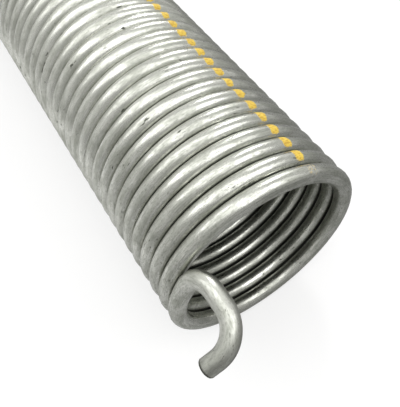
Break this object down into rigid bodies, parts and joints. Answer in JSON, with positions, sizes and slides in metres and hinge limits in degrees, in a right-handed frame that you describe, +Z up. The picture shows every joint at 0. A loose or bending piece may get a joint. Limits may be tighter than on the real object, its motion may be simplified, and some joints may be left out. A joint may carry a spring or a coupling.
{
  "type": "torsion spring",
  "caption": "Close-wound left-hand torsion spring of galvanised steel wire for a garage door, with a bent hook at one end and a plain cut at the other.",
  "frame": {"origin": "on the coil's axis, midway along the coil", "axes": "+Z up as the spring lies on its side; +Y along the coil's axis towards its plain end, so the hook end faces -Y; +X to the right as seen from the hook end"},
  "size_m": [0.0612, 0.4218, 0.0606],
  "materials": {
    "galvanised_wire": "satin zinc-galvanised drawn steel wire, with a row of yellow paint dashes along the coil"
  },
  "bodies": {
    "root": {"torsion_spring": "galvanised_wire"}
  },
  "joints": []
}
